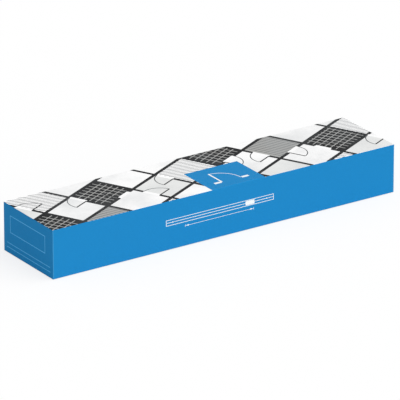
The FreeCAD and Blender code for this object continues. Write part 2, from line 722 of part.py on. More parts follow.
def small_parts():
    made = {}
    row = 0
    for name, size in (("body_screws", body_screw), ("rail_screws", rail_screw)):
        screws = []
        for k in range(size["count"]):
            column = k % screws_in_row
            x = second_lane_left + screw_spacing + column * (body_screw["length"] + screw_spacing)
            y = closer_lane_front + screw_spacing / 2 + (row + k // screws_in_row + 0.5) * screw_pitch
            z = small_parts_base + size["head_radius"] + screw_seat_gap
            screws.append(countersunk_screw(size, x, y, z))
        made[name] = Part.makeCompound(screws)
        row += math.ceil(size["count"] / screws_in_row)
    made["hex_key"] = hex_key()
    made["arm_screw"] = arm_screw()
    return made


def hex_key():
    # An L of hexagon bar that lies flat, with its bend as an arc
    half = hex_key_flats / 2
    z = small_parts_base + half
    corner = Vector(tool_pocket_left + seat_clearance + half, closer_lane_front + seat_clearance + half, z)
    long_start = corner + Vector(hex_key_bend, 0, 0)
    long_end = corner + Vector(hex_key_long - half, 0, 0)
    short_start = corner + Vector(0, hex_key_bend, 0)
    short_end = corner + Vector(0, hex_key_short - half, 0)
    slant = hex_key_bend * (1 - math.sqrt(0.5))
    bend = Part.Arc(long_start, corner + Vector(slant, slant, 0), short_start)
    path = Part.Wire([Part.LineSegment(long_end, long_start).toShape(), bend.toShape(),
                      Part.LineSegment(short_start, short_end).toShape()])
    reach = hex_key_flats / math.sqrt(3)
    section = polygon_face(6, reach, long_end, (1, 0, 0), (0, 1, 0)).OuterWire
    return path.makePipeShell([section], True, False)


def arm_screw():
    x = tool_pocket_left + hex_key_long - arm_screw_length - arm_screw_head
    y = closer_lane_front + screw_pocket_depth - seat_clearance - arm_screw_head_radius
    z = small_parts_base + arm_screw_head_radius + screw_seat_gap
    length = arm_screw_head + arm_screw_length
    body = faceted_rod([(0, arm_screw_head_radius), (arm_screw_head, arm_screw_head_radius),
                        (arm_screw_head, arm_screw_radius), (length, arm_screw_radius)],
                       fastener_sides, x, y, z)
    return body.cut(hexagon_prism(hex_key_flats, arm_screw_head / 2, (x, y, z), (1, 0, 0)))


def all_nodes():
    valves = [regulating_valve(y, z) for y, z in valve_axes()]
    return {**tray_panels(), **lid_panels(), **pads(), **leaflet(), **plugs_and_seals(), **rack_piston(),
            **spindle_rings(), **spring_adjustment(), **rail_pieces(), **arm_pieces(), **small_parts(),
            "closer_housing": closer_housing(), "closer_cover": closer_cover(),
            "closing_speed_valve": valves[0], "latching_speed_valve": valves[1],
            "pinion_spindle": pinion_spindle(), "spindle_cap": spindle_cap(),
            "outer_spring": coil_spring(outer_spring_radius, outer_spring_wire, outer_spring_turns, 1),
            "inner_spring": coil_spring(inner_spring_radius, inner_spring_wire, inner_spring_turns, -1)}


def main():
    nodes = all_nodes()
    os.makedirs("parts", exist_ok=True)
    for name, shape in sorted(nodes.items()):
        shape.exportStep(os.path.join("parts", name + ".step"))
    print("carton %.2f x %.2f x %.2f mm, %d nodes" % (carton_length, carton_depth, carton_height, len(nodes)))


if __name__ == "__main__":
    main()
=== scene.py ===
import math

import bmesh
import bpy
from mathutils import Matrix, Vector
from mathutils.geometry import delaunay_2d_cdt


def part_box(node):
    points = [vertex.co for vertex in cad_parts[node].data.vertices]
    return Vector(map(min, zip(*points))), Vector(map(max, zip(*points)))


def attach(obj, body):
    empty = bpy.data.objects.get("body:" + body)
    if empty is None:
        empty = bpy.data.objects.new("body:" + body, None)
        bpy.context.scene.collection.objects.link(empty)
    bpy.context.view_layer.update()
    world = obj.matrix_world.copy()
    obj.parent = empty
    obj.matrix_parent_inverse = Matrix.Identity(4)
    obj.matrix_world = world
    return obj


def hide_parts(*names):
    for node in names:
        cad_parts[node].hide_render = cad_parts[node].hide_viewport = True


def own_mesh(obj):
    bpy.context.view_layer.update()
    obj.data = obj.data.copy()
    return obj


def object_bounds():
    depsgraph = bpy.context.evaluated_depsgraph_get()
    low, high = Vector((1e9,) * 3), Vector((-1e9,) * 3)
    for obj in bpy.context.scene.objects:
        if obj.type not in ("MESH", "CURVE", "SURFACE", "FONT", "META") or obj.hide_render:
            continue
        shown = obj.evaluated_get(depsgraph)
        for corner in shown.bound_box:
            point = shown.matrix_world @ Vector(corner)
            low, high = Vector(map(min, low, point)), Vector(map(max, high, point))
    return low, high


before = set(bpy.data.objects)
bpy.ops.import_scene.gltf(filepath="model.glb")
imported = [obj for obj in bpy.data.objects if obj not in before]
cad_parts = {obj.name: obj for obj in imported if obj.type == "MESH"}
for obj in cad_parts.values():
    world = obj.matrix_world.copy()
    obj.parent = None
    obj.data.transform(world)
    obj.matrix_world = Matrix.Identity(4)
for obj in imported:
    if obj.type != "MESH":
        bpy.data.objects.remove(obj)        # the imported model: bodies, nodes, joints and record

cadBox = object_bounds()     # the CAD box, before anything is dressed
mm = 0.001


# Shader helpers

def linear(hexColour):
    channels = [int(hexColour[i:i + 2], 16) / 255 for i in (1, 3, 5)]
    return tuple(c / 12.92 if c <= 0.04045 else ((c + 0.055) / 1.055) ** 2.4 for c in channels) + (1.0,)


def perSize(size):       # texture scale for features this many millimetres across
    return 1 / (size * mm)


def setInputs(tree, node, inputs):
    for name, value in inputs.items():
        if isinstance(value, bpy.types.NodeSocket):
            tree.links.new(value, node.inputs[name])
        else:
            node.inputs[name].default_value = value


def addNode(tree, kind, inputs=None, stops=None, **settings):
    node = tree.nodes.new("ShaderNode" + kind)
    for name, value in settings.items():
        setattr(node, name, value)
    setInputs(tree, node, inputs or {})
    if stops:            # colour ramp stops, as position and colour
        ramp = node.color_ramp.elements
        while len(ramp) < len(stops):
            ramp.new(1.0)
        for stop, (position, colour) in zip(ramp, stops):
            stop.position = position
            stop.color = linear(colour)
    return node


def clearTree(holder):   # an empty node tree for a material or a world
    holder.use_nodes = True
    holder.node_tree.nodes.clear()
    return holder.node_tree


def startFinish(name):
    finish = bpy.data.materials.new(name)
    tree = clearTree(finish)
    shader = addNode(tree, "BsdfPrincipled")
    addNode(tree, "OutputMaterial", {"Surface": shader.outputs["BSDF"]})
    place = addNode(tree, "TexCoord").outputs["Object"]
    return finish, tree, shader, place


mixColourA, mixColourB, mixColourOut = 6, 7, 2    # a Mix node's colour sockets
waveRate = 10 / math.pi                           # a Wave texture's bands per unit at scale 1
microFlute = 1.8                                  # millimetres from crest to crest in the carton's board


# Board and paper

def printedBoard():
    # Micro-flute board, offset printed and matt varnished: flat even ink with hardly any sheen,
    # cloudy tints in the greys, and a faint washboard where the flutes show through
    finish, tree, shader, place = startFinish("offset printed board")
    ink = addNode(tree, "Attribute", attribute_name="ink")
    clouds = addNode(tree, "TexNoise", {"Vector": place, "Scale": perSize(70.0), "Detail": 6.0,
                                        "Roughness": 0.6})
    drift = addNode(tree, "MapRange", {"Value": clouds.outputs["Fac"], "From Min": 0.42, "From Max": 0.66})
    wash = addNode(tree, "Math", {0: drift.outputs["Result"], 1: ink.outputs["Alpha"]}, operation="MULTIPLY")
    tinted = addNode(tree, "Mix", {0: wash.outputs[0], mixColourA: ink.outputs["Color"],
                                   mixColourB: linear("#a9aeb1")}, data_type="RGBA")
    # printing dots are 0.2 mm, drawn as 1.5 mm specks so that they show at all
    speck = addNode(tree, "TexNoise", {"Vector": place, "Scale": perSize(1.5), "Detail": 2.0})
    density = addNode(tree, "MapRange", {"Value": speck.outputs["Fac"], "To Min": 0.95, "To Max": 1.05})
    inked = addNode(tree, "Mix", {0: 1.0, mixColourA: tinted.outputs[mixColourOut],
                                  mixColourB: density.outputs["Result"]},
                    data_type="RGBA", blend_type="MULTIPLY")
    satin = addNode(tree, "MapRange", {"Value": clouds.outputs["Fac"], "To Min": 0.5, "To Max": 0.62})
    flutes = addNode(tree, "TexWave", {"Vector": place, "Scale": perSize(microFlute) / waveRate,
                                       "Distortion": 0.4})
    bump = addNode(tree, "Bump", {"Height": flutes.outputs["Fac"], "Strength": 0.6, "Distance": 0.03 * mm})
    setInputs(tree, shader, {"Base Color": inked.outputs[mixColourOut], "Roughness": satin.outputs["Result"],
                             "Specular IOR Level": 0.05, "Normal": bump.outputs["Normal"]})
    return finish


def greyLiner():
    # Uncoated recycled liner: warm grey-white, quite matt, with short darker fibres lying every way
    finish, tree, shader, place = startFinish("uncoated grey liner")
    pulp = addNode(tree, "TexNoise", {"Vector": place, "Scale": perSize(9.0), "Detail": 5.0})
    sheet = addNode(tree, "ValToRGB", {"Fac": pulp.outputs["Fac"]},
                    stops=[(0.3, "#cdc8be"), (0.7, "#d6d2c9")])
    fibres = addNode(tree, "TexVoronoi", {"Vector": place, "Scale": perSize(2.4), "Randomness": 1.0},
                     feature="DISTANCE_TO_EDGE")
    fleck = addNode(tree, "MapRange", {"Value": fibres.outputs["Distance"], "From Max": 0.06,
                                       "To Min": 0.94, "To Max": 1.0})
    shade = addNode(tree, "Mix", {0: 1.0, mixColourA: sheet.outputs["Color"],
                                  mixColourB: fleck.outputs["Result"]},
                    data_type="RGBA", blend_type="MULTIPLY")
    bump = addNode(tree, "Bump", {"Height": pulp.outputs["Fac"], "Strength": 0.3, "Distance": 0.1 * mm})
    setInputs(tree, shader, {"Base Color": shade.outputs[mixColourOut], "Roughness": 0.85,
                             "Specular IOR Level": 0.25, "Normal": bump.outputs["Normal"]})
    return finish


def cutBoardEdge():
    # A die-cut edge of micro-flute board: two pale liners, and between them the flute's wave, with painted
    # shade darkening its open hollows
    finish, tree, shader, _ = startFinish("die-cut board edge")
    fluteSwing, paper, middle = 0.3, 0.18, 0.5      # shares of the board's thickness
    ink = addNode(tree, "Attribute", attribute_name="ink")
    spot = addNode(tree, "SeparateColor", {"Color": ink.outputs["Color"]})
    along, through = spot.outputs["Red"], spot.outputs["Green"]
    turn = addNode(tree, "Math", {0: along, 1: 2 * math.pi / microFlute}, operation="MULTIPLY")
    wave = addNode(tree, "Math", {0: turn.outputs[0]}, operation="SINE")
    crest = addNode(tree, "Math", {0: wave.outputs[0], 1: fluteSwing, 2: middle}, operation="MULTIPLY_ADD")
    apart = addNode(tree, "Math", {0: through, 1: crest.outputs[0]}, operation="SUBTRACT")
    flute = addNode(tree, "Math", {0: apart.outputs[0]}, operation="ABSOLUTE")
    offset = addNode(tree, "Math", {0: through, 1: middle}, operation="SUBTRACT")
    toMiddle = addNode(tree, "Math", {0: offset.outputs[0]}, operation="ABSOLUTE")
    skin = addNode(tree, "Math", {0: middle, 1: toMiddle.outputs[0]}, operation="SUBTRACT")
    nearest = addNode(tree, "Math", {0: flute.outputs[0], 1: skin.outputs[0]}, operation="MINIMUM")
    hollow = addNode(tree, "MapRange", {"Value": nearest.outputs[0], "From Min": paper / 2,
                                        "From Max": paper})
    # painted shade: the hollows between the flute and the liners are darkened to #7d725e for the shade inside
    # the tubes
    tone = addNode(tree, "ValToRGB", {"Fac": hollow.outputs["Result"]},
                   stops=[(0.0, "#cfc7b6"), (1.0, "#7d725e")])
    setInputs(tree, shader, {"Base Color": tone.outputs["Color"], "Roughness": 0.9,
                             "Specular IOR Level": 0.2})
    return finish


def kraftPad():
    # Brown corrugated board, die cut: fibrous liner on the flat, open flutes in waves along every cut side,
    # their hollows darkened with painted shade
    finish, tree, shader, place = startFinish("kraft corrugated board")
    wall, flutePitch, fluteSwing, paper = 6.0, 8.5, 2.3, 0.75      # one of two walls, in millimetres
    steep = 0.5                              # a face whose normal rises less than this is a cut side
    drawn = addNode(tree, "Mapping", {"Vector": place, "Scale": (0.45, 1.0, 1.0)})
    fibre = addNode(tree, "TexNoise", {"Vector": drawn.outputs["Vector"], "Scale": perSize(1.4),
                                       "Detail": 6.0})
    liner = addNode(tree, "ValToRGB", {"Fac": fibre.outputs["Fac"]},
                    stops=[(0.25, "#a9875c"), (0.55, "#b59468"), (0.8, "#c0a176")])
    axes = addNode(tree, "SeparateXYZ", {"Vector": place})
    flat = addNode(tree, "Math", {0: axes.outputs["X"], 1: axes.outputs["Y"]})
    turn = addNode(tree, "Math", {0: flat.outputs[0], 1: 2 * math.pi * perSize(flutePitch)},
                   operation="MULTIPLY")
    wave = addNode(tree, "Math", {0: turn.outputs[0]}, operation="SINE")
    crest = addNode(tree, "Math", {0: wave.outputs[0], 1: fluteSwing * mm}, operation="MULTIPLY")
    lift = addNode(tree, "Math", {0: axes.outputs["Z"], 1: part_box("bottom_pad")[0].z}, operation="SUBTRACT")
    level = addNode(tree, "Math", {0: lift.outputs[0], 1: wall * mm}, operation="FLOORED_MODULO")
    offset = addNode(tree, "Math", {0: level.outputs[0], 1: wall / 2 * mm}, operation="SUBTRACT")
    apart = addNode(tree, "Math", {0: offset.outputs[0], 1: crest.outputs[0]}, operation="SUBTRACT")
    flute = addNode(tree, "Math", {0: apart.outputs[0]}, operation="ABSOLUTE")
    toMiddle = addNode(tree, "Math", {0: offset.outputs[0]}, operation="ABSOLUTE")
    skin = addNode(tree, "Math", {0: wall / 2 * mm, 1: toMiddle.outputs[0]}, operation="SUBTRACT")
    nearest = addNode(tree, "Math", {0: flute.outputs[0], 1: skin.outputs[0]}, operation="MINIMUM")
    hollow = addNode(tree, "MapRange", {"Value": nearest.outputs[0], "From Min": paper / 2 * mm,
                                        "From Max": paper * mm})
    normal = addNode(tree, "SeparateXYZ", {"Vector": addNode(tree, "NewGeometry").outputs["True Normal"]})
    upright = addNode(tree, "Math", {0: normal.outputs["Z"]}, operation="ABSOLUTE")
    side = addNode(tree, "Math", {0: upright.outputs[0], 1: steep}, operation="LESS_THAN")
    gap = addNode(tree, "Math", {0: hollow.outputs["Result"], 1: side.outputs[0]}, operation="MULTIPLY")
    # painted shade: on the cut sides the flute hollows are darkened to #4b3822, and the same mask also dents
    # the bump
    shade = addNode(tree, "Mix", {0: gap.outputs[0], mixColourA: liner.outputs["Color"],
                                  mixColourB: linear("#4b3822")}, data_type="RGBA")
    drop = addNode(tree, "Math", {0: fibre.outputs["Fac"], 1: gap.outputs[0]}, operation="SUBTRACT")
    bump = addNode(tree, "Bump", {"Height": drop.outputs[0], "Strength": 0.5, "Distance": 0.3 * mm})
    setInputs(tree, shader, {"Base Color": shade.outputs[mixColourOut], "Roughness": 0.88,
                             "Specular IOR Level": 0.2, "Normal": bump.outputs["Normal"]})
    return finish


def leafletPaper():
    # Folded offset paper: near white, matt, with a faint cloudiness of the sheet
    finish, tree, shader, place = startFinish("folded offset paper")
    sheet = addNode(tree, "TexNoise", {"Vector": place, "Scale": perSize(4.0), "Detail": 6.0})
    tone = addNode(tree, "ValToRGB", {"Fac": sheet.outputs["Fac"]},
                   stops=[(0.3, "#e6e4de"), (0.7, "#f3f2ee")])
    bump = addNode(tree, "Bump", {"Height": sheet.outputs["Fac"], "Strength": 0.15, "Distance": 0.1 * mm})
    setInputs(tree, shader, {"Base Color": tone.outputs["Color"], "Roughness": 0.7,
                             "Specular IOR Level": 0.3, "Normal": bump.outputs["Normal"]})
    return finish


# Metals

def castAluminium():
    # Die-cast aluminium, shot blasted: an even mid grey with a sandy grain and no direction
    finish, tree, shader, place = startFinish("shot blasted aluminium")
    # the blasting grit leaves 0.3 mm dents, drawn as 0.8 mm so that they show
    grit = addNode(tree, "TexNoise", {"Vector": place, "Scale": perSize(0.8), "Detail": 3.0})
    tone = addNode(tree, "ValToRGB", {"Fac": grit.outputs["Fac"]},
                   stops=[(0.3, "#96989a"), (0.7, "#b4b6b8")])
    bump = addNode(tree, "Bump", {"Height": grit.outputs["Fac"], "Strength": 0.35, "Distance": 0.2 * mm})
    setInputs(tree, shader, {"Base Color": tone.outputs["Color"], "Metallic": 1.0, "Roughness": 0.55,
                             "Normal": bump.outputs["Normal"]})
    return finish


def turnedSteel():
    # Bright steel, turned and milled: fine tool lines that streak the reflections
    finish, tree, shader, place = startFinish("turned steel")
    drawn = addNode(tree, "Mapping", {"Vector": place, "Scale": (1.0, 1.0, 0.15)})
    # tool lines are 0.1 mm apart, drawn as 0.6 mm
    lines = addNode(tree, "TexNoise", {"Vector": drawn.outputs["Vector"], "Scale": perSize(0.6),
                                       "Detail": 2.0})
    tone = addNode(tree, "ValToRGB", {"Fac": lines.outputs["Fac"]},
                   stops=[(0.3, "#8d8e8f"), (0.7, "#b3b3b2")])
    gloss = addNode(tree, "MapRange", {"Value": lines.outputs["Fac"], "To Min": 0.22, "To Max": 0.4})
    bump = addNode(tree, "Bump", {"Height": lines.outputs["Fac"], "Strength": 0.12, "Distance": 0.05 * mm})
    setInputs(tree, shader, {"Base Color": tone.outputs["Color"], "Metallic": 1.0,
                             "Roughness": gloss.outputs["Result"], "Normal": bump.outputs["Normal"]})
    return finish


def temperedWire():
    # Oil-tempered spring wire: dark blue-grey in soft patches of scale, with an oily half gloss
    finish, tree, shader, place = startFinish("oil tempered spring wire")
    scale = addNode(tree, "TexNoise", {"Vector": place, "Scale": perSize(2.5), "Detail": 4.0})
    tone = addNode(tree, "ValToRGB", {"Fac": scale.outputs["Fac"]},
                   stops=[(0.3, "#3c4046"), (0.7, "#5a5f66")])
    gloss = addNode(tree, "MapRange", {"Value": scale.outputs["Fac"], "To Min": 0.3, "To Max": 0.5})
    setInputs(tree, shader, {"Base Color": tone.outputs["Color"], "Metallic": 1.0,
                             "Roughness": gloss.outputs["Result"]})
    return finish


def turnedBrass():
    # Brass, turned: warm yellow, with a bright ringed gloss
    finish, tree, shader, place = startFinish("turned brass")
    drawn = addNode(tree, "Mapping", {"Vector": place, "Scale": (1.0, 0.2, 0.2)})
    # tool rings are 0.1 mm apart, drawn as 0.5 mm
    rings = addNode(tree, "TexNoise", {"Vector": drawn.outputs["Vector"], "Scale": perSize(0.5),
                                       "Detail": 2.0})
    tone = addNode(tree, "ValToRGB", {"Fac": rings.outputs["Fac"]},
                   stops=[(0.3, "#b99246"), (0.7, "#d7b76a")])
    gloss = addNode(tree, "MapRange", {"Value": rings.outputs["Fac"], "To Min": 0.2, "To Max": 0.36})
    setInputs(tree, shader, {"Base Color": tone.outputs["Color"], "Metallic": 1.0,
                             "Roughness": gloss.outputs["Result"]})
    return finish


def anodisedExtrusion():
    # Extruded aluminium, satin anodised: a silky grey with long faint die lines down its length
    finish, tree, shader, place = startFinish("satin anodised aluminium")
    drawn = addNode(tree, "Mapping", {"Vector": place, "Scale": (0.004, 1.0, 1.0)})
    # die lines are finer than 0.2 mm, drawn as 0.9 mm
    lines = addNode(tree, "TexNoise", {"Vector": drawn.outputs["Vector"], "Scale": perSize(0.9),
                                       "Detail": 3.0})
    tone = addNode(tree, "ValToRGB", {"Fac": lines.outputs["Fac"]},
                   stops=[(0.3, "#a7aaac"), (0.7, "#bfc1c3")])
    gloss = addNode(tree, "MapRange", {"Value": lines.outputs["Fac"], "To Min": 0.42, "To Max": 0.56})
    bump = addNode(tree, "Bump", {"Height": lines.outputs["Fac"], "Strength": 0.1, "Distance": 0.04 * mm})
    setInputs(tree, shader, {"Base Color": tone.outputs["Color"], "Metallic": 1.0,
                             "Roughness": gloss.outputs["Result"], "Normal": bump.outputs["Normal"]})
    return finish


def zincPlate():
    # Zinc plated steel, clear passivated: bright grey with a faint blue and straw cast in patches
    finish, tree, shader, place = startFinish("zinc plated steel")
    cast = addNode(tree, "TexNoise", {"Vector": place, "Scale": perSize(3.5), "Detail": 4.0})
    tone = addNode(tree, "ValToRGB", {"Fac": cast.outputs["Fac"]},
                   stops=[(0.3, "#a6aab2"), (0.5, "#b7b8b8"), (0.72, "#bdb6a3")])
    gloss = addNode(tree, "MapRange", {"Value": cast.outputs["Fac"], "To Min": 0.24, "To Max": 0.42})
    setInputs(tree, shader, {"Base Color": tone.outputs["Color"], "Metallic": 1.0,
                             "Roughness": gloss.outputs["Result"]})
    return finish


def blackOxide():
    # Steel blackened in a hot bath: near black, waxed, with a low sheen that wears brown-grey
    finish, tree, shader, place = startFinish("black oxide steel")
    wear = addNode(tree, "TexNoise", {"Vector": place, "Scale": perSize(5.0), "Detail": 5.0})
    tone = addNode(tree, "ValToRGB", {"Fac": wear.outputs["Fac"]},
                   stops=[(0.35, "#1b1b1d"), (0.75, "#333130")])
    gloss = addNode(tree, "MapRange", {"Value": wear.outputs["Fac"], "To Min": 0.32, "To Max": 0.5})
    setInputs(tree, shader, {"Base Color": tone.outputs["Color"], "Metallic": 0.7,
                             "Roughness": gloss.outputs["Result"]})
    return finish


# Plastics, paint and rubber

def silverLacquer():
    # ABS, moulded and sprayed silver: metal flakes that glitter finely under a satin clear coat
    finish, tree, shader, place = startFinish("silver lacquered ABS")
    # flakes are 0.05 mm, drawn as 0.5 mm
    flakes = addNode(tree, "TexVoronoi", {"Vector": place, "Scale": perSize(0.5), "Randomness": 1.0})
    grey = addNode(tree, "SeparateColor", {"Color": flakes.outputs["Color"]})
    tone = addNode(tree, "ValToRGB", {"Fac": grey.outputs["Red"]},
                   stops=[(0.0, "#a3a5a7"), (1.0, "#b6b8ba")])
    peel = addNode(tree, "TexNoise", {"Vector": place, "Scale": perSize(1.8), "Detail": 1.0})
    bump = addNode(tree, "Bump", {"Height": peel.outputs["Fac"], "Strength": 0.08, "Distance": 0.05 * mm})
    setInputs(tree, shader, {"Base Color": tone.outputs["Color"], "Metallic": 0.2, "Roughness": 0.52,
                             "Coat Weight": 0.1, "Coat Roughness": 0.35, "Normal": bump.outputs["Normal"]})
    return finish


def powderCoat():
    # Forged steel, powder coated silver: a soft satin skin with an orange-peel ripple
    finish, tree, shader, place = startFinish("silver powder coat")
    peel = addNode(tree, "TexNoise", {"Vector": place, "Scale": perSize(1.6), "Detail": 2.0})
    tone = addNode(tree, "ValToRGB", {"Fac": peel.outputs["Fac"]},
                   stops=[(0.3, "#a9abad"), (0.7, "#bcbec0")])
    bump = addNode(tree, "Bump", {"Height": peel.outputs["Fac"], "Strength": 0.25, "Distance": 0.12 * mm})
    setInputs(tree, shader, {"Base Color": tone.outputs["Color"], "Metallic": 0.35, "Roughness": 0.45,
                             "Normal": bump.outputs["Normal"]})
    return finish


def mouldedNylon():
    # Nylon, injection moulded with a spark-eroded grain: dark grey, dry looking
    finish, tree, shader, place = startFinish("moulded nylon")
    grain = addNode(tree, "TexNoise", {"Vector": place, "Scale": perSize(0.7), "Detail": 2.0})
    tone = addNode(tree, "ValToRGB", {"Fac": grain.outputs["Fac"]},
                   stops=[(0.3, "#26272a"), (0.7, "#313235")])
    bump = addNode(tree, "Bump", {"Height": grain.outputs["Fac"], "Strength": 0.25, "Distance": 0.08 * mm})
    setInputs(tree, shader, {"Base Color": tone.outputs["Color"], "Roughness": 0.5, "IOR": 1.53,
                             "Normal": bump.outputs["Normal"]})
    return finish


def mouldedAcetal():
    # Acetal, injection moulded: milky white, waxy, a little light goes into it
    finish, tree, shader, place = startFinish("moulded acetal")
    flow = addNode(tree, "TexNoise", {"Vector": place, "Scale": perSize(6.0), "Detail": 2.0,
                                      "Distortion": 0.8})
    tone = addNode(tree, "ValToRGB", {"Fac": flow.outputs["Fac"]},
                   stops=[(0.3, "#dcdad2"), (0.7, "#e9e7e0")])
    setInputs(tree, shader, {"Base Color": tone.outputs["Color"], "Roughness": 0.38, "IOR": 1.48,
                             "Subsurface Weight": 0.1, "Subsurface Radius": (0.0012, 0.0011, 0.001)})
    return finish


def nitrileRubber():
    # Nitrile rubber, moulded: black, dull, with a grey bloom
    finish, tree, shader, place = startFinish("nitrile rubber")
    bloom = addNode(tree, "TexNoise", {"Vector": place, "Scale": perSize(4.0), "Detail": 5.0})
    tone = addNode(tree, "ValToRGB", {"Fac": bloom.outputs["Fac"]},
                   stops=[(0.35, "#161617"), (0.75, "#262627")])
    bump = addNode(tree, "Bump", {"Height": bloom.outputs["Fac"], "Strength": 0.2, "Distance": 0.1 * mm})
    setInputs(tree, shader, {"Base Color": tone.outputs["Color"], "Roughness": 0.72, "IOR": 1.52,
                             "Normal": bump.outputs["Normal"]})
    return finish


finishes = {             # by the record's material slots
    "printed_board": printedBoard(), "tray_board": greyLiner(), "pad_board": kraftPad(),
    "leaflet_paper": leafletPaper(), "die_cast_aluminium": castAluminium(), "silver_cover": silverLacquer(),
    "machined_steel": turnedSteel(), "spring_steel": temperedWire(), "seal_rubber": nitrileRubber(),
    "valve_brass": turnedBrass(), "rail_aluminium": anodisedExtrusion(), "moulded_plastic": mouldedNylon(),
    "slide_polymer": mouldedAcetal(), "painted_arm": powderCoat(), "zinc_steel": zincPlate(),
    "black_steel": blackOxide()}
cutEdge = cutBoardEdge()
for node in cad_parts.values():
    for materialSlot in node.material_slots:
        materialSlot.material = finishes[materialSlot.material.name]
print("finishes:", len(finishes) + 1)


# Printed shapes: each is an ink and a closed outline in millimetres, laid one over the other

inks = {                 # colour, and how much of the cloudy wash shows in it
    "blue": ("#1d86c4", 0.0),
    # painted highlight: a lighter blue for the outer half of the creases, where the fold catches the light,
    # partly also ink rubbed thin at the fold
    "foldBlue": ("#3f94ca", 0.0),
    "paleBlue": ("#62bff5", 0.0),
    "white": ("#f2f6f8", 0.0),
    "sky": ("#fdfdfd", 0.3),
    "paper": ("#ffffff", 0.05),
    "charcoal": ("#1b1c1e", 0.08),
    "slate": ("#5a5c5e", 0.3),
    "grey": ("#acacaa", 0.35),
    "mist": ("#eaebea", 0.25)}


def block(ink, left, low, right, high):
    return (ink, [(left, low), (right, low), (right, high), (left, high)])


def ruledBox(ink, left, low, right, high, stroke):
    return [block(ink, left, low, right, low + stroke), block(ink, left, high - stroke, right, high),
            block(ink, left, low + stroke, left + stroke, high - stroke),
            block(ink, right - stroke, low + stroke, right, high - stroke)]


def arcPoints(x, y, radius, start, stop, steps):
    turns = [math.radians(start + (stop - start) * k / steps) for k in range(steps + 1)]
    return [(x + radius * math.cos(turn), y + radius * math.sin(turn)) for turn in turns]


def arcBand(ink, x, y, radius, stroke, start, stop, steps=14):
    outer = arcPoints(x, y, radius + stroke / 2, start, stop, steps)
    return (ink, outer + arcPoints(x, y, radius - stroke / 2, stop, start, steps))


def disc(ink, x, y, radius, steps=24):
    return (ink, arcPoints(x, y, radius, 0, 360 - 360 / steps, steps - 1))


def turned(shapes, angle):
    c, s = math.cos(math.radians(angle)), math.sin(math.radians(angle))
    return [(ink, [(x * c - y * s, x * s + y * c) for x, y in points]) for ink, points in shapes]


def anticlockwise(shapes):
    fixed = []
    for ink, points in shapes:
        area = sum(a[0] * b[1] - b[0] * a[1] for a, b in zip(points, points[1:] + points[:1]))
        fixed.append((ink, points if area > 0 else points[::-1]))
    return fixed


# The top's design: a made-up floor plan laid askew, in the greys of an architect's print

plan = {
    "tilt": 27.0,        # degrees from the carton's length
    "wall": 4.8,
    "doorway": 23.0,
    "clear": 0.2,        # how far a doorway's white goes past the wall on each side
    "leaf": 2.0,
    "swing": 1.3,
    "tile": 8.0,
    "plank": 5.0,
    "hatch": 6.5,
    "stroke": 1.3,
    "columns": (-275, -205, -148, -88, -34, 30, 88, 146, 210, 275),
    "rows": (-175, -118, -62, -8, 46, 100, 175),
    "rooms": {           # by column and row
        (0, 5): "plain", (0, 4): "tiles", (1, 4): "blank", (1, 5): "hatch", (1, 3): "planks",
        (2, 4): "tiles", (2, 3): "blank", (2, 2): "hatch", (3, 3): "plain", (3, 2): "blank",
        (3, 4): "blank", (4, 3): "hatch", (4, 2): "planks", (4, 1): "tiles", (5, 2): "blank",
        (5, 1): "plain", (5, 3): "tiles", (6, 2): "planks", (6, 1): "blank", (6, 0): "hatch",
        (7, 1): "tiles", (7, 0): "plain", (7, 2): "blank", (8, 0): "blank", (8, 1): "hatch",
        (5, 0): "blank"},
    "doors": [           # where the leaf hangs, the wall's direction in degrees, and the side it opens to
        (-205, 118, 90, -1), (-148, 76, 90, 1), (-120, 46, 0, 1), (-88, 8, 90, -1), (-34, 20, 90, 1),
        (44, -8, 0, -1), (88, -46, 90, 1), (110, -62, 0, -1), (146, -102, 90, -1), (210, -142, 90, 1)]}


def seams(start, stop, spacing):     # where the lines across a floor begin
    places, place = [], start + spacing
    while place < stop - plan["stroke"]:
        places.append(place)
        place += spacing
    return places


def tiledFloor(left, low, right, high):
    shapes = [block("charcoal", left, low, right, high)]
    for x in seams(left, right, plan["tile"]):
        shapes.append(block("grey", x, low, x + plan["stroke"], high))
    for y in seams(low, high, plan["tile"]):
        shapes.append(block("grey", left, y, right, y + plan["stroke"]))
    return shapes


def plankFloor(left, low, right, high):
    shapes = [block("grey", left, low, right, high)]
    for x in seams(left, right, plan["plank"]):
        shapes.append(block("slate", x, low, x + plan["stroke"], high))
    return shapes


def hatchedFloor(left, low, right, high):
    shapes = [block("paper", left, low, right, high)]
    width, height = right - left, high - low
    reach, across = plan["hatch"], plan["stroke"] * math.sqrt(2)
    while reach + across < width + height:
        feet, heads = [], []
        for offset in (reach, reach + across):      # both sides of one slanted stroke
            feet.append((left + min(offset, width), low + max(0, offset - width)))
            heads.append((left + max(0, offset - height), low + min(offset, height)))
        shapes.append(("slate", feet + heads[::-1]))
        reach += plan["hatch"]
    return shapes


def floorPlan():
    floors = {"tiles": tiledFloor, "planks": plankFloor, "hatch": hatchedFloor,
              "plain": lambda *room: [block("mist", *room)], "blank": lambda *room: [block("sky", *room)]}
    walls, rooms, doors = [], [], []
    half, doorway = plan["wall"] / 2, plan["doorway"]
    for (column, row), floor in plan["rooms"].items():
        left, right = plan["columns"][column:column + 2]
        low, high = plan["rows"][row:row + 2]
        walls.append(block("charcoal", left - half, low - half, right + half, high + half))
        rooms += floors[floor](left + half, low + half, right - half, high - half)
    for x, y, along, way in plan["doors"]:
        gap = block("paper", 0, -half - plan["clear"], doorway, half + plan["clear"])
        leaf = block("charcoal", -plan["leaf"] / 2, 0, plan["leaf"] / 2, way * doorway)
        swing = arcBand("slate", 0, 0, doorway, plan["swing"], 0, way * 90)
        for ink, points in turned([gap, leaf, swing], along):
            doors.append((ink, [(x + px, y + py) for px, py in points]))
    return turned(walls + rooms + doors, plan["tilt"])


# A blue tab that comes up over the front edge, with the plan sign for a door on it

tab = {"left": -21.0, "right": 57.0, "reach": 62.0, "sign": 30.0, "stub": 10.0, "stroke": 2.2}


